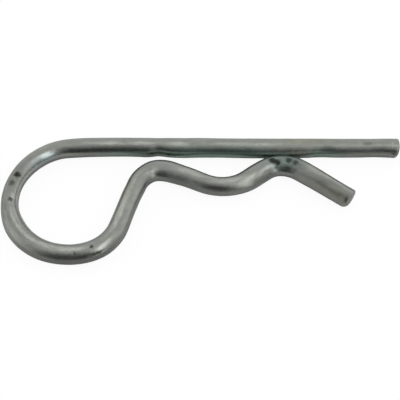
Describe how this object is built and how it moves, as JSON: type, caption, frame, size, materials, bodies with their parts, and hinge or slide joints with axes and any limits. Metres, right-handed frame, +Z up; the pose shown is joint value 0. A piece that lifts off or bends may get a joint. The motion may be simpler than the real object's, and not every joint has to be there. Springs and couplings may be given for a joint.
{
  "type": "hairpin cotter pin",
  "caption": "Hairpin cotter pin of round wire: a straight leg for a cross hole, a waved leg that springs over the shaft, and a finger eye.",
  "frame": {"origin": "middle of the clip's box, on the surface that it lies on", "axes": "+X along the straight leg towards its free end, +Y from the waved leg towards the straight leg, +Z up"},
  "size_m": [0.08, 0.0286, 0.004],
  "materials": {
    "zinc_plated_wire": "dull zinc plate"
  },
  "bodies": {
    "root": {"clip": "zinc_plated_wire"}
  },
  "joints": []
}
